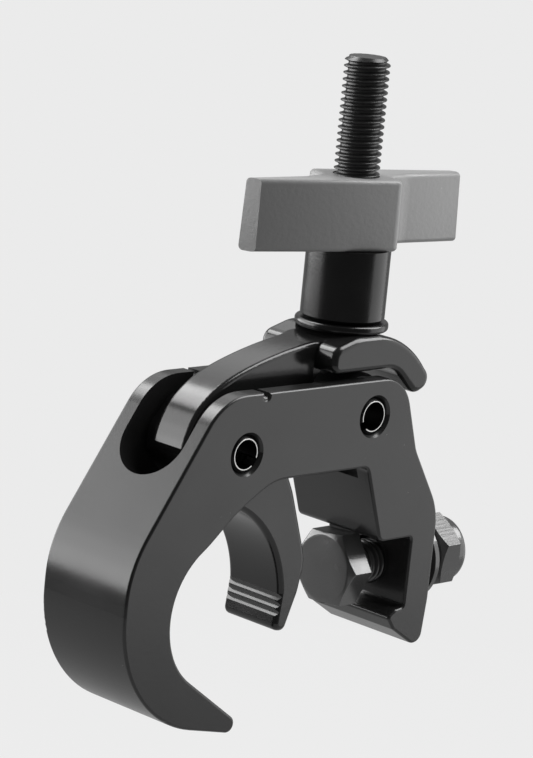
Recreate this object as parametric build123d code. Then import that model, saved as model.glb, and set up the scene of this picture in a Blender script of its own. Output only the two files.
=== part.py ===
from build123d import *
import math
import os

# Pipe clamp with a swing-bolt lock. Millimetres, +Z up, Y along the tube.
# The origin is the centre of the hook's tube seat, halfway across the body.

# ---- hook body: one length of aluminium extrusion, milled ----
body_width = 30.0
body_edge_round = 0.7
seat_radius = 20.5
seat_start_deg = 124.5
seat_end_deg = 235.0
flank_mid = (-3.0, 24.1)
flank_end = (7.0, 30.6)
flank_end_deg = 28.5
flank_blend_radius = 15.0
beam_top_z = 56.0
beam_underside_z = 32.9
outer_slope_deg = 56.4
outer_slope_from_pin = 16.3
hook_back_x = -36.6
hook_underside_drop = 31.6
hook_underside_deg = 11.9
tip_radius = 2.25
top_left_radius = 15.5
back_upper_radius = 30.0
back_lower_radius = 33.5
marker_groove_x = 5.05
marker_groove_radius = 0.95
marker_groove_depth = 1.8

# ---- right-hand leg: block, bolt channel and foot ----
leg_outer_x = 74.9
channel_wall_x = 65.4
channel_ceiling_z = 12.0
block_corner_x = 53.1
block_wall_deg = 110.4
block_root_radius = 2.5
block_corner_radius = 2.4
channel_root_radius = 1.0
shoulder_top = (63.55, 35.8)
shoulder_bottom = (74.9, 18.5)
shoulder_radius = 18.0
neck_radius = 10.0
beam_end_corner = (56.45, beam_top_z)
beam_end_radius = 11.0
foot_top_z = -7.2
foot_step = (62.4, -7.6)
foot_step_radius = 1.5
foot_lip = (59.6, -9.5)
foot_toe = (62.2, -13.0)
foot_lip_radius = 1.0
foot_corner = (73.6, -20.1)
foot_corner_radius = 3.0
leg_bend_z = -6.0
leg_bend_radius = 12.0

# ---- roll pins and their holes ----
lever_pin_z = 40.7
bolt_pin_x = 45.67
bolt_pin_z = 46.38
pin_diameter = 10.0
pin_wall = 1.2
pin_slit = 2.4
pin_end_recess = 0.4
pin_chamfer = 0.95
lever_pin_slit_deg = -35.0
bolt_pin_slit_deg = -145.0
pin_sink_depth = 1.1
pin_sink_rise = 0.7
pivot_clearance = 0.06

# ---- milled slot for the lever and the swing bolt ----
slot_width = 21.0
slot_tool_deg = -33.6
slot_end_x = -17.2
slot_end_z = 43.15
slot_inner_reach = 30.0
well_floor_z = 28.9
well_start_x = 46.8
well_end_x = 56.8
end_slot_floor_z = 38.0

# ---- jaw lever; profile corners are (x, z, radius) ----
jaw_width = 19.2
jaw_arc_centre = (-8.7, -6.0)
jaw_arc_radius = 33.5
jaw_root_deg = 76.0
jaw_mid_deg = 46.0
jaw_mouth = (23.1, 0.3)
jaw_edge_round = 1.4
jaw_toe = [(22.15, -9.4, 2.0), (26.2, -10.2, 2.0)]
jaw_back = [(30.0, 0.0, 12.0), (31.6, 8.5, 12.0), (24.4, 27.4, 20.0)]
web_top = [(17.0, 41.0, 8.0), (12.0, 50.6, 0)]
hub_radius = 10.8
hub_front = (-4.0, lever_pin_z + hub_radius, 6.0)
hub_heel = [
    (-10.9, lever_pin_z + 3.0, 3.0),
    (-10.9, lever_pin_z - 2.4, 0.4),
    (-8.4, lever_pin_z - 6.4, 1.5),
]
rib_pitch = 2.05
rib_count = 3
rib_groove = 1.3
rib_lean = 0.1
crosshead_width = 26.8
crosshead_left_x = 30.0
crosshead_top_z = beam_top_z + 11.1
crosshead_underside_z = beam_top_z + 2.0
crosshead_shoulder_z = crosshead_top_z - 2.6
crosshead_flat = (39.0, 44.0)
crosshead_edge_round = 1.6
bow_radius = 27.55
bow_centre = (44.3, crosshead_top_z - 27.4)
bow_start_deg = 84.0
bow_end_deg = 40.0
bow_nose = (69.4, beam_top_z - 2.6, 3.2)
bow_tip = (62.3, beam_top_z - 5.7, 3.2)
bow_underside_x = 53.8
bow_underside_radius = 8.5
arm_width = 11.6
arm_edge_round = 1.2
arm_flare_x = 26.4
arm_flare_radius = 12.3
arm_heel = (-13.0, lever_pin_z + 0.3)
arm_back = [(-5.6, beam_top_z - 2.2), (9.8, beam_top_z + 4.9), (25.0, beam_top_z + 8.5)]
arm_back_slope = 0.35
arm_back_drop = 1.5
arm_root_x = 36.0
arm_root_drop = 1.1
arm_belly = [(33.5, 59.0, 1.0), (30.2, 54.6, 3.0), (21.0, 46.5, 6.0), (8.0, 44.0, 5.0)]
rod_slot_width = 13.0
rod_slot_length = 16.0

# ---- swing bolt, washer, sleeve and handle ----
bolt_lean_deg = 0.6
rod_diameter = 12.0
rod_length = 91.0
rod_chamfer = 1.2
eye_radius = 10.2
eye_width = 18.0
eye_chamfer = 1.0
seat_height = crosshead_top_z - bolt_pin_z + 0.07
washer_diameter = 24.4
washer_bore = 13.0
washer_thickness = 2.2
washer_chamfer = 0.3
thread_clearance = 0.06
sleeve_diameter = 22.0
sleeve_length = 19.0
sleeve_chamfer = 1.0
handle_height = 18.5
handle_turn_deg = -18.0
handle_draft_deg = 1.0
handle_edge_round = 1.2
wing_hub = [(9.6, -9.3, 2.0), (9.6, -1.0, 3.0), (17.0, 2.2, 8.0)]
wing_end = [(34.8, 5.3, 0), (32.0, 9.4, 0)]

# ---- fixture bolt through the leg ----
fixture_hole = 13.0
fixture_hole_z = 2.2
fixture_axis_z = 1.75
fixture_diameter = 12.0
fixture_end_chamfer = 1.2
hex_across_flats = 19.0
hex_bevel_radius = 9.0
hex_bevel_deg = 30.0
head_height = 7.5
head_face_x = 48.5
head_turn_deg = -4.0
bolt_length = 40.0
nut_hex_height = 7.0
nut_height = 11.0
nut_collar_radius = 9.1
nut_collar_round = 2.2
nut_insert_radius = 7.6
nut_insert_length = 2.6
nut_insert_start = 7.4
nut_mouth_radius = 6.6
nut_bearing_x = 85.5
nut_turn_deg = -22.0
flat_washer_diameter = 24.0
flat_washer_bore = 13.0
flat_washer_droop = 0.4
flat_washer_thickness = 1.5
flat_washer_x = 79.9

half_body = body_width / 2


def at(x, z):
    return Vector(x, 0, z)


def heading(degrees):
    """Unit direction in the side plane, turned from +X toward +Z."""
    return (math.cos(math.radians(degrees)), math.sin(math.radians(degrees)))


def crossing(p, p_deg, q, q_deg):
    """Where two lines in the side plane meet, each given by a point and a heading."""
    (ux, uz), (vx, vz) = heading(p_deg), heading(q_deg)
    across = ux * vz - uz * vx
    along = ((q[0] - p[0]) * vz - (q[1] - p[1]) * vx) / across
    return (p[0] + along * ux, p[1] + along * uz)


def rounded_edges(corners):
    """Edges through corners (x, z, radius) in order, each corner rounded to its radius."""
    trimmed = []
    last = len(corners) - 1
    for i, (x, z, radius) in enumerate(corners):
        here = at(x, z)
        if radius == 0 or i in (0, last):
            trimmed.append((here, None, here))
            continue
        back = (at(*corners[i - 1][:2]) - here).normalized()
        ahead = (at(*corners[i + 1][:2]) - here).normalized()
        half = math.acos(max(-1.0, min(1.0, back.dot(ahead)))) / 2
        reach = radius / math.tan(half)
        middle = here + (back + ahead).normalized() * (radius / math.sin(half) - radius)
        trimmed.append((here + back * reach, middle, here + ahead * reach))
    edges = []
    for i, (start, middle, end) in enumerate(trimmed):
        if middle is not None:
            edges.append(ThreePointArc(start, middle, end))
        if i < last and (trimmed[i + 1][0] - end).length > 1e-6:
            edges.append(Line(end, trimmed[i + 1][0]))
    return edges


def closed_outline(corners):
    """A closed outline through rounded corners; it starts halfway along the last side."""
    first = corners[0]
    final = corners[-1]
    seam = ((first[0] + final[0]) / 2, (first[1] + final[1]) / 2, 0)
    return rounded_edges([seam, *corners, seam])


def plate(edges, width):
    """A slab of the given width on both sides of the side plane."""
    return extrude(Face(Wire(edges)), amount=width / 2, dir=(0, 1, 0), both=True)


def cylinder_along_y(x, z, radius, length):
    return Pos(x, 0, z) * Rot(90, 0, 0) * Cylinder(radius, length)


def cylinder_along_x(x_start, z, radius, length):
    return Pos(x_start + length / 2, 0, z) * Rot(0, 90, 0) * Cylinder(radius, length)


def body_outline():
    slope = heading(outer_slope_deg)
    on_slope = (-slope[1] * outer_slope_from_pin, lever_pin_z + slope[0] * outer_slope_from_pin)
    underside = (0.0, -hook_underside_drop)
    top_left = crossing(on_slope, outer_slope_deg, (0, beam_top_z), 0)
    back_knee = crossing(on_slope, outer_slope_deg, (hook_back_x, 0), 90)
    heel = crossing((hook_back_x, 0), 90, underside, -hook_underside_deg)
    seat_low = tuple(seat_radius * c for c in heading(seat_end_deg))
    seat_high = tuple(seat_radius * c for c in heading(seat_start_deg))
    tip = crossing(seat_low, seat_end_deg + 90, underside, -hook_underside_deg)
    block_corner = (block_corner_x, channel_ceiling_z)
    block_root = crossing(block_corner, block_wall_deg, (0, beam_underside_z), 0)
    flank_top = crossing(flank_end, flank_end_deg, (0, beam_underside_z), 0)
    around = rounded_edges([
        (*flank_end, 0),
        (*flank_top, flank_blend_radius),
        (*block_root, block_root_radius),
        (*block_corner, block_corner_radius),
        (channel_wall_x, channel_ceiling_z, channel_root_radius),
        (channel_wall_x, foot_top_z, channel_root_radius),
        (*foot_step, foot_step_radius),
        (*foot_lip, foot_lip_radius),
        (*foot_toe, foot_lip_radius),
        (*foot_corner, foot_corner_radius),
        (leg_outer_x, leg_bend_z, leg_bend_radius),
        (*shoulder_bottom, shoulder_radius),
        (*shoulder_top, neck_radius),
        (*beam_end_corner, beam_end_radius),
        (*top_left, top_left_radius),
        (*back_knee, back_upper_radius),
        (*heel, back_lower_radius),
        (*tip, tip_radius),
        (*seat_low, 0),
    ])
    seat = ThreePointArc(at(*seat_low), at(-seat_radius, 0), at(*seat_high))
    flank = Spline(
        [at(*seat_high), at(*flank_mid), at(*flank_end)],
        tangents=[at(*heading(seat_start_deg - 90)), at(*heading(flank_end_deg))],
    )
    return around + [seat, flank]


def slot_cutter():
    """The slot tool: a slab over the top and a round end driven in square to the outer slope."""
    far = 2 * leg_outer_x
    tool = heading(slot_tool_deg)
    start = (slot_end_x - slot_width * tool[0], slot_end_z - slot_width * tool[1])
    inner = (slot_end_x + slot_inner_reach * tool[0], slot_end_z + slot_inner_reach * tool[1])
    slab = plate(
        rounded_edges([
            (*start, 0),
            (*inner, 0),
            (well_start_x, inner[1], 0),
            (well_start_x, well_floor_z, 0),
            (well_end_x, well_floor_z, 0),
            (well_end_x, end_slot_floor_z, 0),
            (far, end_slot_floor_z, 0),
            (far, far, 0),
            (start[0], far, 0),
            (*start, 0),
        ]),
        slot_width,
    )
    place = Pos(slot_end_x, 0, slot_end_z) * Rot(0, 90 - slot_tool_deg, 0)
    round_end = place * Cylinder(slot_width / 2, 2 * slot_inner_reach + slot_width / 2)
    return slab + round_end


def hook_body():
    body = plate(body_outline(), body_width)
    groove_z = beam_top_z - marker_groove_depth + marker_groove_radius
    mouth = Box(2 * marker_groove_radius, body_width, 2 * marker_groove_depth)
    body -= Pos(marker_groove_x, 0, groove_z + marker_groove_depth) * mouth
    body -= cylinder_along_y(marker_groove_x, groove_z, marker_groove_radius, body_width)
    rims = body.edges().filter_by(lambda e: abs(abs(e.center().Y) - half_body) < 0.01)
    body = fillet(rims, body_edge_round)
    body -= slot_cutter()
    for x, z in ((0, lever_pin_z), (bolt_pin_x, bolt_pin_z)):
        body -= cylinder_along_y(x, z, pin_diameter / 2, body_width)
        sink = pin_diameter / 2 + pin_sink_rise
        for side in (-1, 1):
            cone = Cone(sink, pin_diameter / 2, pin_sink_depth)
            seat = Pos(x, side * (half_body - pin_sink_depth / 2), z)
            body -= seat * Rot(-side * -90, 0, 0) * cone
    depth = leg_outer_x - channel_wall_x
    start_x = channel_wall_x - depth / 2
    body -= cylinder_along_x(start_x, fixture_hole_z, fixture_hole / 2, 2 * depth)
    return body


def roll_pin(x, z, slit_deg):
    """A rolled spring pin lying along Y; its slit faces slit_deg from +X toward +Z."""
    length = body_width - 2 * pin_end_recess
    pin = Cylinder(pin_diameter / 2, length)
    pin = chamfer(pin.edges().filter_by(GeomType.CIRCLE), pin_chamfer)
    pin -= Cylinder(pin_diameter / 2 - pin_wall, length)
    pin -= Pos(pin_diameter / 2, 0, 0) * Box(pin_diameter, pin_slit, length)
    return Pos(x, 0, z) * Rot(0, -slit_deg, 0) * Rot(90, 0, 0) * pin


def on_circle(centre, radius, degrees):
    c, s = heading(degrees)
    return (centre[0] + radius * c, centre[1] + radius * s)


def jaw_outline():
    root = on_circle(jaw_arc_centre, jaw_arc_radius, jaw_root_deg)
    middle = on_circle(jaw_arc_centre, jaw_arc_radius, jaw_mid_deg)
    concave = [ThreePointArc(at(*root), at(*middle), at(*jaw_mouth))]
    back = jaw_toe + jaw_back + web_top + [hub_front] + hub_heel
    return concave + rounded_edges([(*jaw_mouth, 0), *back, (*root, 0)])


def crosshead_outline():
    """The curved crosshead that the washer presses on; its bow hooks over the beam's end."""
    bow_start = on_circle(bow_centre, bow_radius, bow_start_deg)
    bow_end = on_circle(bow_centre, bow_radius, bow_end_deg)
    middle = on_circle(bow_centre, bow_radius, (bow_start_deg + bow_end_deg) / 2)
    bow = ThreePointArc(at(*bow_start), at(*middle), at(*bow_end))
    rest = rounded_edges([
        (*bow_end, 0),
        bow_nose,
        bow_tip,
        (bow_underside_x, crosshead_underside_z, bow_underside_radius),
        (crosshead_left_x, crosshead_underside_z, 2.5),
        (crosshead_left_x, crosshead_shoulder_z, 3.5),
        (crosshead_flat[0], crosshead_top_z, 12.0),
        (crosshead_flat[1], crosshead_top_z, 10.0),
        (*bow_start, 0),
    ])
    return [bow] + rest


def arm_outline():
    """The lever's arm, from its heel over the hook to well inside the crosshead."""
    root = (arm_root_x, crosshead_top_z - arm_root_drop)
    back = Spline([at(*point) for point in (arm_heel, *arm_back, root)])
    rest = rounded_edges([
        (*root, 0),
        (arm_root_x, crosshead_underside_z + crosshead_edge_round, 0),
        *arm_belly,
        (0.0, lever_pin_z - 4.7, 0),
        (-10.2, lever_pin_z - 3.1, 0.8),
        (*arm_heel, 0),
    ])
    return [back] + rest


def arm_plan():
    """A tall prism over the arm's plan, which flares a little toward the crosshead."""
    near = arm_width / 2
    run = crosshead_left_x - arm_flare_x
    rise = arm_flare_radius - math.sqrt(arm_flare_radius**2 - run**2)
    mid_run = run / 2
    mid_rise = arm_flare_radius - math.sqrt(arm_flare_radius**2 - mid_run**2)
    start_x = 2 * arm_heel[0]
    end_x = arm_root_x + 1
    edges = [Line((start_x, -near), (start_x, near))]
    for side in (-1, 1):
        tangent = (arm_flare_x, side * near)
        middle = (arm_flare_x + mid_run, side * (near + mid_rise))
        crease = (crosshead_left_x, side * (near + rise))
        edges.append(Line((start_x, side * near), tangent))
        edges.append(ThreePointArc(tangent, middle, crease))
        edges.append(Line(crease, (end_x, side * (near + rise))))
    edges.append(Line((end_x, -near - rise), (end_x, near + rise)))
    return extrude(Face(Wire(edges)), amount=rod_length, dir=(0, 0, 1), both=True)


def along_arm_back(edge):
    """Whether an edge runs along one side of the arm's back."""
    middle = edge @ 0.5
    low_line = beam_top_z - arm_back_drop + arm_back_slope * middle.X
    return abs(middle.Y) > arm_width / 2 - 0.1 and middle.Z > low_line


def along_jaw_rim(edge):
    """Whether an edge runs along one of the jaw's sides below the hub and the arm."""
    middle = edge @ 0.5
    start, end = edge @ 0, edge @ 1
    hub = max(start.Z, end.Z) > web_top[-1][1] + 0.1 or min(start.X, end.X) < -1
    return abs(middle.Y) > jaw_width / 2 - 0.1 and not hub


def jaw_lever():
    jaw = plate(jaw_outline(), jaw_width)
    jaw = fillet(jaw.edges().filter_by(along_jaw_rim), jaw_edge_round)
    for i in range(rib_count):
        drop = rib_groove / math.sqrt(2) + i * rib_pitch
        groove = Rot(0, 45, 0) * Box(rib_groove, jaw_width, rib_groove)
        jaw -= Pos(jaw_mouth[0] - rib_lean * drop, 0, jaw_mouth[1] - drop) * groove
    arm = plate(arm_outline(), crosshead_width) & arm_plan()
    arm = fillet(arm.edges().filter_by(along_arm_back), arm_edge_round)
    crosshead = plate(crosshead_outline(), crosshead_width)
    rims = crosshead.edges().filter_by(lambda e: abs(e.center().Y) > crosshead_width / 2 - 0.01)
    crosshead = fillet(rims, crosshead_edge_round)
    lever = jaw + arm + crosshead
    slot = extrude(SlotOverall(rod_slot_length, rod_slot_width), amount=rod_length)
    lever -= Pos(bolt_pin_x, 0, bolt_pin_z) * slot
    bore = pin_diameter / 2 + pivot_clearance
    lever -= cylinder_along_y(0, lever_pin_z, bore, crosshead_width)
    return lever


def on_bolt(height):
    """A place on the swing bolt's own axis, that far from its pin."""
    return Pos(bolt_pin_x, 0, bolt_pin_z) * Rot(0, -bolt_lean_deg, 0) * Pos(0, 0, height)


def swing_bolt():
    rod = Pos(0, 0, rod_length / 2) * Cylinder(rod_diameter / 2, rod_length)
    rod = chamfer(rod.edges().sort_by(Axis.Z)[-1], rod_chamfer)
    eye = Rot(90, 0, 0) * Cylinder(eye_radius, eye_width)
    eye = chamfer(eye.edges().filter_by(GeomType.CIRCLE), eye_chamfer)
    bolt = rod + eye
    bolt -= Rot(90, 0, 0) * Cylinder(pin_diameter / 2 + pivot_clearance, eye_width)
    return on_bolt(0) * bolt


def rod_washer():
    washer = Cylinder(washer_diameter / 2, washer_thickness)
    washer = chamfer(washer.edges(), washer_chamfer)
    washer -= Cylinder(washer_bore / 2, washer_thickness)
    return on_bolt(seat_height + washer_thickness / 2) * washer


def sleeve_nut():
    sleeve = Cylinder(sleeve_diameter / 2, sleeve_length)
    sleeve = chamfer(sleeve.edges().sort_by(Axis.Z)[0], sleeve_chamfer)
    sleeve -= Cylinder(rod_diameter / 2 + thread_clearance, sleeve_length)
    return on_bolt(seat_height + washer_thickness + sleeve_length / 2) * sleeve


def wing_handle():
    """An S-shaped handle: each wing is the other one turned half round; its ends are cut square."""
    half = wing_hub + wing_end
    outline = closed_outline(half + [(-x, -z, r) for x, z, r in half])
    face = Rot(-90, 0, 0) * Face(Wire(outline))
    handle = extrude(face, amount=handle_height, dir=(0, 0, 1), taper=handle_draft_deg)
    end_x = (wing_end[0][0] + wing_end[1][0]) / 2 - handle_edge_round
    rims = handle.edges().filter_by(Plane.XY).filter_by(lambda e: abs(e.center().X) < end_x)
    handle = fillet(rims, handle_edge_round)
    handle -= Cylinder(rod_diameter / 2 + thread_clearance, 3 * handle_height)
    turned = Rot(0, 0, handle_turn_deg) * handle
    return on_bolt(seat_height + washer_thickness + sleeve_length) * turned


def hex_prism(height, turn_deg):
    """A hexagon along +X from x = 0; turn_deg turns its flats from horizontal."""
    corner_radius = hex_across_flats / 2 / math.cos(math.radians(30))
    prism = extrude(RegularPolygon(corner_radius, 6), amount=height)
    return Rot(turn_deg + 30, 0, 0) * Rot(0, 90, 0) * prism


def rim_cone(height):
    """A cone that widens along +X from x = 0: it bevels a hexagon's corners."""
    top = hex_bevel_radius + height / math.tan(math.radians(hex_bevel_deg))
    return Pos(height / 2, 0, 0) * Rot(0, 90, 0) * Cone(hex_bevel_radius, top, height)


def hex_bolt():
    head = hex_prism(head_height, head_turn_deg) & rim_cone(head_height)
    shank = Cylinder(fixture_diameter / 2, bolt_length)
    shank = chamfer(shank.edges().sort_by(Axis.Z)[-1], fixture_end_chamfer)
    shank = Pos(head_height + bolt_length / 2, 0, 0) * Rot(0, 90, 0) * shank
    return Pos(head_face_x, 0, fixture_axis_z) * (head + shank)


def hex_nut():
    nut = hex_prism(nut_hex_height, nut_turn_deg) & rim_cone(nut_hex_height)
    nut &= Pos(nut_hex_height, 0, 0) * Rot(0, 180, 0) * rim_cone(nut_hex_height)
    collar = Cylinder(nut_collar_radius, nut_height)
    collar = fillet(collar.edges().sort_by(Axis.Z)[-1], nut_collar_round)
    collar = Rot(0, 90, 0) * Pos(0, 0, nut_height / 2) * collar
    nut += collar - hex_prism(nut_hex_height / 2, nut_turn_deg)
    nut -= cylinder_along_x(0, 0, fixture_diameter / 2 + thread_clearance, nut_insert_start)
    nut -= cylinder_along_x(nut_insert_start, 0, nut_insert_radius, nut_insert_length)
    nut -= cylinder_along_x(nut_insert_start, 0, nut_mouth_radius, nut_height)
    return Pos(nut_bearing_x, 0, fixture_axis_z) * nut


def nut_insert():
    """The locking ring held in the nut's collar."""
    ring = cylinder_along_x(nut_insert_start, 0, nut_insert_radius, nut_insert_length)
    ring -= cylinder_along_x(0, 0, fixture_diameter / 2 + thread_clearance, nut_height)
    return Pos(nut_bearing_x, 0, fixture_axis_z) * ring


def flat_washer():
    washer = Cylinder(flat_washer_diameter / 2, flat_washer_thickness)
    washer -= Cylinder(flat_washer_bore / 2, flat_washer_thickness)
    middle = flat_washer_x + flat_washer_thickness / 2
    return Pos(middle, 0, fixture_axis_z - flat_washer_droop) * Rot(0, 90, 0) * washer


parts = {
    "hook_body": hook_body(),
    "lever_pin": roll_pin(0, lever_pin_z, lever_pin_slit_deg),
    "bolt_pin": roll_pin(bolt_pin_x, bolt_pin_z, bolt_pin_slit_deg),
    "jaw_lever": jaw_lever(),
    "swing_bolt": swing_bolt(),
    "rod_washer": rod_washer(),
    "sleeve_nut": sleeve_nut(),
    "wing_handle": wing_handle(),
    "hex_bolt": hex_bolt(),
    "flat_washer": flat_washer(),
    "hex_nut": hex_nut(),
    "nut_insert": nut_insert(),
}

os.makedirs("parts", exist_ok=True)
for name, shape in parts.items():
    export_step(shape, f"parts/{name}.step")
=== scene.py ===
import math

import bmesh
import bpy
import numpy as np
from mathutils import Matrix, Vector


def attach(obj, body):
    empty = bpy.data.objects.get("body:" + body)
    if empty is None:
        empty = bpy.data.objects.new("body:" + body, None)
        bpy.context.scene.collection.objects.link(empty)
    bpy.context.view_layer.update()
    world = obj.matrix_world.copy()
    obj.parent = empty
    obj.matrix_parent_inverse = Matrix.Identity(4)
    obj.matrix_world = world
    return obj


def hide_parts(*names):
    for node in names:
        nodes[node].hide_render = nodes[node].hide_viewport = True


# A pipe clamp with a swing-bolt lock: a milled hook takes the tube, a pivoted lever closes on it,
# and a swing bolt with a wing nut pulls the lever down. Metres, the tube's centre at the origin.
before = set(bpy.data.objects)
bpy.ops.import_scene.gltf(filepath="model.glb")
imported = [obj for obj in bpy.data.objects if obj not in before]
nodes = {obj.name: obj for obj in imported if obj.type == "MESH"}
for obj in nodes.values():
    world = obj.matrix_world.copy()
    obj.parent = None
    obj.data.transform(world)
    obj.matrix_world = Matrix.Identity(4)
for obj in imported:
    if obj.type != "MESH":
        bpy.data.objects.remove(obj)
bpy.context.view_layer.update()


# ---------------------------------------------------------------- hook body
# The hook is a slice of aluminium extrusion, slotted, drilled and tumbled, then given a satin
# black powder coat that flows out with a fine orange peel and catches a few specks of dust.

def finish_of(name, **plain):
    """A material with one Principled shader, whose plain values are set on its own sockets."""
    material = bpy.data.materials.new(name)
    material.use_nodes = True
    shader = material.node_tree.nodes["Principled BSDF"]
    for socket, value in plain.items():
        shader.inputs[socket.replace("_", " ")].default_value = value
    return material, material.node_tree, shader


def effect_group(name, inputs, outputs):
    """An empty shader node group with named inputs and outputs, each input with its first value."""
    group = bpy.data.node_groups.new(name, "ShaderNodeTree")
    for label, value in inputs.items():
        socket = group.interface.new_socket(label, in_out="INPUT", socket_type="NodeSocketFloat")
        socket.default_value = value
    for label in outputs:
        group.interface.new_socket(label, in_out="OUTPUT", socket_type="NodeSocketFloat")
    return group, group.nodes.new("NodeGroupInput"), group.nodes.new("NodeGroupOutput")


def add(tree, kind, links=None, **values):
    """A node of that kind: values go to its attributes or unlinked inputs, links join its inputs."""
    node = tree.nodes.new(kind)
    for key, value in values.items():
        if hasattr(node, key):
            setattr(node, key, value)
        else:
            node.inputs[key.replace("_", " ")].default_value = value
    for socket, source in (links or {}).items():
        tree.links.new(source, node.inputs[socket])
    return node


def calculate(tree, operation, *terms):
    """One Math node; each term is a number or another node's output."""
    node = tree.nodes.new("ShaderNodeMath")
    node.operation = operation
    for i, term in enumerate(terms):
        if isinstance(term, (int, float)):
            node.inputs[i].default_value = term
        else:
            tree.links.new(term, node.inputs[i])
    return node.outputs[0]


def coat_effect():
    """Orange peel: fine noise is the height, slow noise moves the roughness between its two values,
    and specks are the middles of a few random cells."""
    patches_per_metre = 70.0
    cells_per_metre = 260.0
    speck_in_cell = 0.045
    group, given, out = effect_group(
        "coat_flow",
        {"Cell Size": 0.0012, "Gloss Low": 0.25, "Gloss High": 0.35, "Speck Share": 0.3},
        ("Height", "Roughness", "Specks"),
    )
    place = add(group, "ShaderNodeTexCoord").outputs["Object"]
    scale = calculate(group, "DIVIDE", 1.0, given.outputs["Cell Size"])
    peel = add(group, "ShaderNodeTexNoise", {"Vector": place, "Scale": scale},
               Detail=2.0, Roughness=0.5)
    slow = add(group, "ShaderNodeTexNoise", {"Vector": place}, Scale=patches_per_metre, Detail=3.0)
    gloss = add(group, "ShaderNodeMapRange",
                {"Value": slow.outputs["Fac"], "To Min": given.outputs["Gloss Low"],
                 "To Max": given.outputs["Gloss High"]}, From_Min=0.3, From_Max=0.7)
    cells = add(group, "ShaderNodeTexVoronoi", {"Vector": place}, Scale=cells_per_metre)
    near = calculate(group, "LESS_THAN", cells.outputs["Distance"], speck_in_cell)
    chosen = add(group, "ShaderNodeSeparateColor", {"Color": cells.outputs["Color"]})
    chosen = calculate(group, "LESS_THAN", chosen.outputs[0], given.outputs["Speck Share"])
    group.links.new(peel.outputs["Fac"], out.inputs["Height"])
    group.links.new(gloss.outputs["Result"], out.inputs["Roughness"])
    group.links.new(calculate(group, "MULTIPLY", near, chosen), out.inputs["Specks"])
    return group


coat_flow = coat_effect()


def place_coat(tree, shader, colour, speck_colour, bump_depth, **values):
    """Puts the coat's effect in a material: gloss, bump, and specks over its colour. Gives back its bump."""
    effect = tree.nodes.new("ShaderNodeGroup")
    effect.node_tree = coat_flow
    for socket, value in values.items():
        effect.inputs[socket.replace("_", " ")].default_value = value
    bump = add(tree, "ShaderNodeBump", {"Height": effect.outputs["Height"]},
               Strength=1.0, Distance=bump_depth)
    mix = add(tree, "ShaderNodeMix", data_type="RGBA")
    tree.links.new(effect.outputs["Specks"], mix.inputs[0])
    mix.inputs[6].default_value = (colour, colour, colour, 1)
    mix.inputs[7].default_value = (speck_colour, speck_colour, speck_colour, 1)
    tree.links.new(mix.outputs[2], shader.inputs["Base Color"])
    tree.links.new(bump.outputs["Normal"], shader.inputs["Normal"])
    tree.links.new(effect.outputs["Roughness"], shader.inputs["Roughness"])
    return bump


def paint(node, material):
    """Gives a CAD node its finish."""
    node.data.materials.clear()
    node.data.materials.append(material)


hook_coat, tree, shader = finish_of("hook_coat", Specular_IOR_Level=0.5)
place_coat(tree, shader, colour=0.014, speck_colour=0.09, bump_depth=0.000012,
           Cell_Size=0.0009, Gloss_Low=0.2, Gloss_High=0.25, Speck_Share=0.35)
paint(nodes["hook_body"], hook_coat)


# ---------------------------------------------------------------- spring pins
# Two rolled spring pins hold the lever and the swing bolt. They are black spring steel; their ends,
# past the bevel, are coloured bright grey as a painted highlight of the light the end rings catch.

highlight_from = 0.01458
pin_black, tree, shader = finish_of("pin_black", Metallic=1.0)
place_coat(tree, shader, colour=0.02, speck_colour=0.02, bump_depth=0.000005,
           Cell_Size=0.0004, Gloss_Low=0.3, Gloss_High=0.45)
along = add(tree, "ShaderNodeSeparateXYZ",
            {"Vector": add(tree, "ShaderNodeTexCoord").outputs["Object"]})
# Past this distance along the pin the colour turns bright grey: a painted highlight on the pin ends.
painted_highlight = calculate(tree, "GREATER_THAN", calculate(tree, "ABSOLUTE", along.outputs["Y"]), highlight_from)
ends = add(tree, "ShaderNodeMix", data_type="RGBA")
tree.links.new(painted_highlight, ends.inputs[0])
ends.inputs[6].default_value = (0.02, 0.02, 0.02, 1)
ends.inputs[7].default_value = (0.62, 0.62, 0.61, 1)
tree.links.new(ends.outputs[2], shader.inputs["Base Color"])
for name in ("lever_pin", "bolt_pin"):
    paint(nodes[name], pin_black)


# ---------------------------------------------------------------- lever
# The lever is one casting: ribbed jaw, arm and crosshead. Its coat is thicker and glossier than
# the hook's.

lever_coat, tree, shader = finish_of("lever_coat", Specular_IOR_Level=0.5)
place_coat(tree, shader, colour=0.01, speck_colour=0.06, bump_depth=0.000015,
           Cell_Size=0.0018, Gloss_Low=0.15, Gloss_High=0.2, Speck_Share=0.15)
paint(nodes["jaw_lever"], lever_coat)


# ---------------------------------------------------------------- swing bolt
# A black-plated M12 eye bolt with a rolled thread. Its eye turns on the second pin, inside the
# slot, and its rod leans a little back as it rises through the crosshead.

def smooth_step(value):
    """0 below 0 and 1 above 1, with a level start and end between."""
    value = np.clip(value, 0.0, 1.0)
    return value * value * (3.0 - 2.0 * value)


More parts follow.
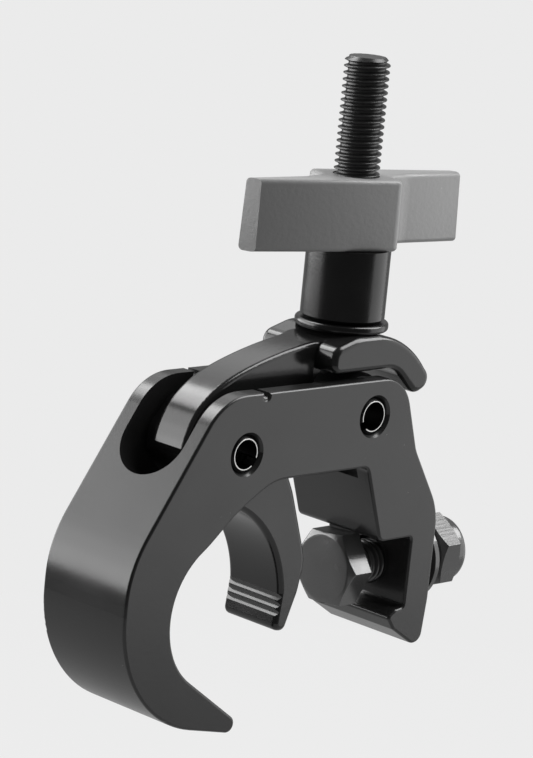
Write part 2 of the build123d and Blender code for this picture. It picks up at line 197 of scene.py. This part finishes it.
def threaded_rod(low, high, crest, depth, pitch, thread_from, bevel_radius):
    """A rolled right-hand thread along Z. The grid's rows climb one pitch a turn, so a row keeps its place
    in the thread: its radius is the crest less the depth times a smooth ramp from crest to root. Under
    thread_from it is the plain shank. A 45 degree bevel runs down to bevel_radius at both ends, and past
    the ends the rows close to the axis."""
    sides, steps = 48, 16
    root_flat, flank = 0.22, 0.66
    row = np.arange(-2 * steps, round((high - low) / pitch * steps) + 2 * steps + 1)
    turn = np.arange(sides) / sides
    height = low + pitch * (row[:, None] / steps + turn[None, :])
    from_root = np.abs(2.0 * ((row / steps) % 1.0) - 1.0)
    ramp = smooth_step((from_root - root_flat) / flank)[:, None]
    threaded = smooth_step((height - thread_from) / (2.0 * pitch))
    shank = crest - depth / 2
    radius = shank + threaded * (crest - depth * (1.0 - ramp) - shank)
    z = np.clip(height, low, high)
    radius = np.minimum(radius, bevel_radius + np.minimum(high - z, z - low))
    past = np.maximum(height - high, low - height) / pitch
    radius = radius * np.clip(1.0 - past, 0.0, 1.0)
    angle = 2.0 * np.pi * turn
    points = np.stack([radius * np.cos(angle), radius * np.sin(angle), z], axis=-1).reshape(-1, 3)
    index = np.arange(len(row) * sides).reshape(len(row), sides)
    inner = np.stack([index[:-1, :-1], index[:-1, 1:], index[1:, 1:], index[1:, :-1]], axis=-1)
    seam = np.stack([index[:-steps - 1, -1], index[steps:-1, 0], index[steps + 1:, 0],
                     index[1:-steps, -1]], axis=-1)
    return points, np.concatenate([inner.reshape(-1, 4), seam])


def softened(corners):
    """A closed profile (radius, height) through corners (radius, height, reach), each corner cut back by
    its reach and bridged with a parabola."""
    corners = np.array(corners, float)
    spot = corners[:, :2]
    reach = corners[:, 2:]
    before = np.roll(spot, 1, axis=0) - spot
    after = np.roll(spot, -1, axis=0) - spot
    start = spot + before / np.linalg.norm(before, axis=1, keepdims=True) * reach
    end = spot + after / np.linalg.norm(after, axis=1, keepdims=True) * reach
    t = np.linspace(0.0, 1.0, 6)[None, :, None]
    bridge = (1 - t) ** 2 * start[:, None] + 2 * t * (1 - t) * spot[:, None] + t**2 * end[:, None]
    return bridge.reshape(-1, 2)


def turned(profile, sides=96):
    """The closed profile (radius, height) carried once round Z: x and y are the radius times the cosine
    and the sine of the turn."""
    angle = 2.0 * np.pi * np.arange(sides) / sides
    x = profile[:, :1] * np.cos(angle)
    y = profile[:, :1] * np.sin(angle)
    z = np.broadcast_to(profile[:, 1:], x.shape)
    points = np.stack([x, y, z], axis=-1).reshape(-1, 3)
    index = np.arange(len(points)).reshape(-1, sides)
    across = np.roll(index, -1, axis=1)
    faces = np.stack([index, across, np.roll(across, -1, axis=0), np.roll(index, -1, axis=0)],
                     axis=-1)
    return points, faces.reshape(-1, 4)


def placed(shape, origin, axis, side):
    """A shape's points with its Z laid along axis and its X along side, from the origin."""
    axis, side = np.array(axis, float), np.array(side, float)
    turn = np.stack([side, np.cross(axis, side), axis])
    return shape[0] @ turn + np.array(origin, float), shape[1]


def piece_of(name, shapes, material, body, slot, *replaced):
    """One object from closed shapes (points, faces): joined, with doubles merged, smooth but creased
    where faces meet at more than 35 degrees. It takes the place of the replaced nodes."""
    same_point = 2e-6
    crease = math.radians(35)
    counts = np.cumsum([0] + [len(points) for points, _ in shapes])
    points = np.concatenate([points for points, _ in shapes])
    faces = np.concatenate([faces + first for (_, faces), first in zip(shapes, counts)])
    mesh = bpy.data.meshes.new(name)
    mesh.from_pydata(points.tolist(), [], faces.tolist())
    merged = bmesh.new()
    merged.from_mesh(mesh)
    bmesh.ops.remove_doubles(merged, verts=merged.verts, dist=same_point)
    merged.to_mesh(mesh)
    merged.free()
    mesh.shade_smooth()
    mesh.set_sharp_from_angle(angle=crease)
    piece = bpy.data.objects.new(name, mesh)
    bpy.context.scene.collection.objects.link(piece)
    mesh.materials.append(material)
    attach(piece, body)
    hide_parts(*replaced)


bolt_pin = (0.04567, 0.0, 0.04638)
lean = math.radians(0.6)
bolt_axis = (-math.sin(lean), 0.0, math.cos(lean))
bolt_side = (math.cos(lean), 0.0, math.sin(lean))
pitch = 0.00175
crest = 0.00593
thread_depth = 0.00107
tip_radius = 0.0047
rod_low, rod_high = 0.0070, 0.091
rod_thread_from = 0.018
eye_bore = 0.00506
eye_radius = 0.0102
eye_half = 0.009
eye_bevel = 0.001

bolt_black, tree, shader = finish_of("bolt_black", Specular_IOR_Level=0.45)
place_coat(tree, shader, colour=0.02, speck_colour=0.02, bump_depth=0.000003,
           Cell_Size=0.0005, Gloss_Low=0.26, Gloss_High=0.36)
rod = threaded_rod(rod_low, rod_high, crest, thread_depth, pitch, rod_thread_from, tip_radius)
eye = turned(softened([
    (eye_bore, -eye_half, 0.0003),
    (eye_radius - eye_bevel, -eye_half, 0.0004),
    (eye_radius, -eye_half + eye_bevel, 0.0004),
    (eye_radius, eye_half - eye_bevel, 0.0004),
    (eye_radius - eye_bevel, eye_half, 0.0004),
    (eye_bore, eye_half, 0.0003),
]))
eye_bolt = [
    placed(rod, bolt_pin, bolt_axis, bolt_side),
    placed(eye, bolt_pin, (0, -1, 0), (1, 0, 0)),
]
piece_of("eye_bolt", eye_bolt, bolt_black, "swing", "dark_zinc", "swing_bolt")


# ---------------------------------------------------------------- washer and sleeve
# The thick washer has a rolled rim. It and the turned sleeve of the wing nut are steel with a
# glossy black enamel.

washer_from_pin = 0.02079
washer_height = 0.0022
washer_bore = 0.0065
washer_radius = 0.0122
enamel, tree, shader = finish_of("black_enamel", Specular_IOR_Level=0.55)
place_coat(tree, shader, colour=0.004, speck_colour=0.03, bump_depth=0.00002,
           Cell_Size=0.0007, Gloss_Low=0.18, Gloss_High=0.26, Speck_Share=0.1)
ring = turned(softened([
    (washer_bore, 0.0, 0.0003),
    (washer_radius, 0.0, 0.0009),
    (washer_radius, washer_height, 0.0009),
    (washer_bore, washer_height, 0.0003),
]))
washer_place = tuple(np.array(bolt_pin) + washer_from_pin * np.array(bolt_axis))
rolled_washer = [placed(ring, washer_place, bolt_axis, bolt_side)]
piece_of("rolled_washer", rolled_washer, enamel, "washer", "gloss_steel", "rod_washer")
paint(nodes["sleeve_nut"], enamel)


# ---------------------------------------------------------------- wing handle
# An aluminium die casting on the sleeve, with a grainy dark grey coat over the casting's own
# fine ripple.

handle_centre = (0.045, 0.0, 0.0982)
crown_tilt = 10.0
cast_coat, tree, shader = finish_of("cast_coat", Specular_IOR_Level=0.5)
ripple = place_coat(tree, shader, colour=0.245, speck_colour=0.32, bump_depth=0.00009,
                    Cell_Size=0.0013, Gloss_Low=0.34, Gloss_High=0.42, Speck_Share=0.2)


def crown(tree, shader, over, centre, tilt_per_metre):
    """Tilts a flat face's normal outwards in proportion to the distance from the face's middle, as the faces
    of a casting are crowned: the height falls with the square of the distance from the centre."""
    place = add(tree, "ShaderNodeTexCoord").outputs["Object"]
    away = add(tree, "ShaderNodeVectorMath", {0: place}, operation="SUBTRACT")
    away.inputs[1].default_value = centre
    square = add(tree, "ShaderNodeVectorMath", {0: away.outputs["Vector"], 1: away.outputs["Vector"]},
                 operation="DOT_PRODUCT")
    height = calculate(tree, "MULTIPLY", square.outputs["Value"], -0.5 * tilt_per_metre)
    bump = add(tree, "ShaderNodeBump", {"Height": height, "Normal": over.outputs["Normal"]},
               Strength=1.0, Distance=1.0)
    tree.links.new(bump.outputs["Normal"], shader.inputs["Normal"])


crown(tree, shader, ripple, handle_centre, crown_tilt)
paint(nodes["wing_handle"], cast_coat)


# ---------------------------------------------------------------- fixture bolt
# An M12 x 40 hex bolt, dark zinc plated, lies head-inward in the foot's channel. Its head is
# forged, with a turned face and a 30 degree bevel.

def hex_head(across, height, face_radius, turn_degrees):
    """A hexagon along Z. Its outline's radius is half the width across flats over the cosine of the angle
    from the nearest flat's middle; the bevel drops 30 degrees outside the face's radius. Rings at a few
    times the softening length round each edge and keep the faces between them flat."""
    sides = 96
    angle = 2.0 * np.pi * np.arange(sides) / sides
    apart = np.pi / 3.0
    flat = across / 2 / np.cos((angle + apart / 2) % apart - apart / 2)
    one = np.ones(sides)
    soft = 0.0002
    slope = math.tan(math.radians(30))
    drop = (flat - face_radius) * slope
    rows = [(radius * one, 0.0 * one) for radius in (0.0, face_radius - 4 * soft, face_radius - 1.2 * soft)]
    rows += [((face_radius + out * soft) * one, down * slope * soft * one) for out, down in
             ((-0.6, 0.1), (0.0, 0.35), (0.6, 0.8), (1.2, 1.2), (2.4, 2.4))]
    rows += [(flat - back * soft, drop + down * soft) for back, down in
             ((1.2, -1.2 * slope), (0.4, -0.2), (0.1, 0.4), (0.0, 1.2), (0.0, 2.4))]
    rows += [(flat - back * soft, (height - up * soft) * one) for back, up in
             ((0.0, 2.4), (0.0, 1.2), (0.35, 0.35), (1.2, 0.0), (2.4, 0.0))]
    rows += [(0.0 * one, height * one)]
    radius = np.stack([r for r, _ in rows[::-1]])
    z = np.stack([height - z for _, z in rows[::-1]])
    turn = angle + math.radians(turn_degrees)
    points = np.stack([radius * np.cos(turn), radius * np.sin(turn), z], axis=-1).reshape(-1, 3)
    index = np.arange(len(points)).reshape(-1, sides)
    across_ring = np.roll(index, -1, axis=1)
    faces = np.stack([index[:-1], across_ring[:-1], across_ring[1:], index[1:]], axis=-1)
    return points, faces.reshape(-1, 4)


zinc, tree, shader = finish_of("dark_zinc", Metallic=0.5, Specular_IOR_Level=0.8)
grain = place_coat(tree, shader, colour=0.095, speck_colour=0.095, bump_depth=0.00001,
                   Cell_Size=0.0004, Gloss_Low=0.14, Gloss_High=0.28)
streaks_along, streaks_across = 60.0, 1600.0
streak_depth = 0.00003
drawn = add(tree, "ShaderNodeMapping", {"Vector": add(tree, "ShaderNodeTexCoord").outputs["Object"]})
drawn.inputs["Scale"].default_value = (streaks_along, streaks_across, streaks_across)
streak = add(tree, "ShaderNodeTexNoise", {"Vector": drawn.outputs["Vector"]}, Scale=1.0, Detail=2.0)
streak_bump = add(tree, "ShaderNodeBump",
                  {"Height": streak.outputs["Fac"], "Normal": grain.outputs["Normal"]},
                  Strength=1.0, Distance=streak_depth)
tree.links.new(streak_bump.outputs["Normal"], shader.inputs["Normal"])
head_across = 0.019
head_height = 0.0075
head_face_radius = 0.009
head_turn = 4.0
head_face = (0.0485, 0.0, 0.00175)
shank_sunk = 0.001
shank_length = 0.040
shank_thread_from = 0.004
bearing = (head_face[0] + head_height, 0.0, head_face[2])
head = hex_head(head_across, head_height, head_face_radius, head_turn)
shank = threaded_rod(-shank_sunk, shank_length, crest, thread_depth, pitch, shank_thread_from, tip_radius)
fixture_bolt = [
    placed(head, bearing, (-1, 0, 0), (0, 0, 1)),
    placed(shank, bearing, (1, 0, 0), (0, 0, 1)),
]
piece_of("fixture_bolt", fixture_bolt, zinc, "fixing", "dark_zinc", "hex_bolt")


# ---------------------------------------------------------------- flat washer and locking nut
# Both are dark zinc plated steel. A nylon ring is rolled into the nut's collar.

for name in ("flat_washer", "hex_nut"):
    paint(nodes[name], zinc)

nylon, tree, shader = finish_of("nylon")
place_coat(tree, shader, colour=0.05, speck_colour=0.05, bump_depth=0.00001,
           Cell_Size=0.0005, Gloss_Low=0.45, Gloss_High=0.55)
paint(nodes["nut_insert"], nylon)


# ---------------------------------------------------------------- studio
# A pale floor and surround. Reflections don't show the pale surround: for them it is dim behind
# the clamp and darker towards the camera. Soft lamps stand left, right, above and behind.

azimuth, elevation, roll = (math.radians(a) for a in (46.367, 11.951, 5.956))
back = Vector((
    -math.sin(azimuth) * math.cos(elevation),
    -math.cos(azimuth) * math.cos(elevation),
    math.sin(elevation),
))

world = bpy.data.worlds.new("surround")
bpy.context.scene.world = world
world.use_nodes = True
tree = world.node_tree
path = add(tree, "ShaderNodeLightPath")
seen = calculate(tree, "MAXIMUM", path.outputs["Is Camera Ray"], path.outputs["Is Transmission Ray"])
level = add(tree, "ShaderNodeMapRange", {"Value": seen}, To_Min=0.3, To_Max=1.0)
toward = add(tree, "ShaderNodeVectorMath",
             {0: add(tree, "ShaderNodeTexCoord").outputs["Generated"]}, operation="DOT_PRODUCT")
toward.inputs[1].default_value = (back.x, back.y, 0.0)
dark_side = add(tree, "ShaderNodeMapRange", {"Value": toward.outputs["Value"]},
                From_Min=-0.6, From_Max=0.55, To_Min=0.34, To_Max=0.1)
shown = add(tree, "ShaderNodeMix",
            {0: path.outputs["Is Glossy Ray"], 2: level.outputs[0], 3: dark_side.outputs[0]},
            data_type="FLOAT")
tree.nodes["Background"].inputs["Color"].default_value = (0.831, 0.831, 0.831, 1)
tree.links.new(shown.outputs[0], tree.nodes["Background"].inputs["Strength"])

floor_z = -0.35
floor_radius = 1.2
floor_sides = 96
rim = 2.0 * np.pi * np.arange(floor_sides) / floor_sides
disc = np.stack([floor_radius * np.cos(rim), floor_radius * np.sin(rim), floor_z + 0.0 * rim],
                axis=-1)
mesh = bpy.data.meshes.new("floor")
mesh.from_pydata(disc.tolist(), [], [list(range(floor_sides))])
floor = bpy.data.objects.new("floor", mesh)
bpy.context.scene.collection.objects.link(floor)
floor_paint, tree, shader = finish_of(
    "floor_paint", Base_Color=(0.03, 0.03, 0.03, 1), Roughness=1.0, Specular_IOR_Level=0.0,
    Emission_Color=(1, 1, 1, 1),
)
path = add(tree, "ShaderNodeLightPath")
glow = add(tree, "ShaderNodeMapRange", {"Value": path.outputs["Is Camera Ray"]}, To_Min=0.5, To_Max=0.81)
tree.links.new(glow.outputs[0], shader.inputs["Emission Strength"])
floor.data.materials.append(floor_paint)

clamp_middle = Vector((0.02, 0.0, 0.04))


def softbox(name, degrees, rise, distance, width, height, radiance):
    """A rectangular lamp that faces the clamp from a heading and a rise above the horizon, both in
    degrees. Its power gives its face that radiance."""
    heading, rise = math.radians(degrees), math.radians(rise)
    away = Vector((
        math.cos(heading) * math.cos(rise),
        math.sin(heading) * math.cos(rise),
        math.sin(rise),
    ))
    lamp = bpy.data.lights.new(name, "AREA")
    lamp.shape = "RECTANGLE"
    lamp.size = width
    lamp.size_y = height
    lamp.energy = radiance * math.pi * width * height
    box = bpy.data.objects.new(name, lamp)
    bpy.context.scene.collection.objects.link(box)
    box.location = clamp_middle + distance * away
    box.rotation_euler = (-away).to_track_quat("-Z", "Y").to_euler()
    box.visible_camera = False


softbox("left_box", 122.0, 14.0, 0.8, 1.0, 0.6, 3.5)
softbox("left_low", 122.0, 6.5, 0.78, 0.98, 0.39, 0.8)
softbox("left_edge", 122.0, 0.5, 0.76, 0.96, 0.2, 0.9)
softbox("left_high", 106.0, 52.0, 0.9, 0.4, 0.4, 8.0)
softbox("right_wall", -31.0, 5.0, 1.2, 1.3, 1.15, 1.25)
softbox("rear_box", 62.0, 46.0, 1.2, 1.2, 0.7, 1.2)
softbox("top_box", -28.0, 48.0, 1.0, 0.6, 0.85, 7.0)


# ---------------------------------------------------------------- camera
# A long lens, a little above the clamp and turned slightly, so that the bolt leans to the right.

target = Vector((0.019781, 0.0, 0.055078))
distance = 0.838799
sensor_height = 36.0
picture_rows = 758
focal_rows = 3305.876
right = Vector((0, 0, 1)).cross(back).normalized()
up = back.cross(right)
right, up = (
    math.cos(roll) * right + math.sin(roll) * up,
    math.cos(roll) * up - math.sin(roll) * right,
)
lens = bpy.data.cameras.new("camera")
lens.sensor_fit = "VERTICAL"
lens.sensor_height = sensor_height
lens.lens = sensor_height * focal_rows / picture_rows
camera = bpy.data.objects.new("camera", lens)
bpy.context.scene.collection.objects.link(camera)
turn = Matrix((right, up, back)).transposed().to_4x4()
camera.matrix_world = Matrix.Translation(target + distance * back) @ turn
bpy.context.scene.camera = camera

bpy.context.scene.view_settings.view_transform = "Standard"
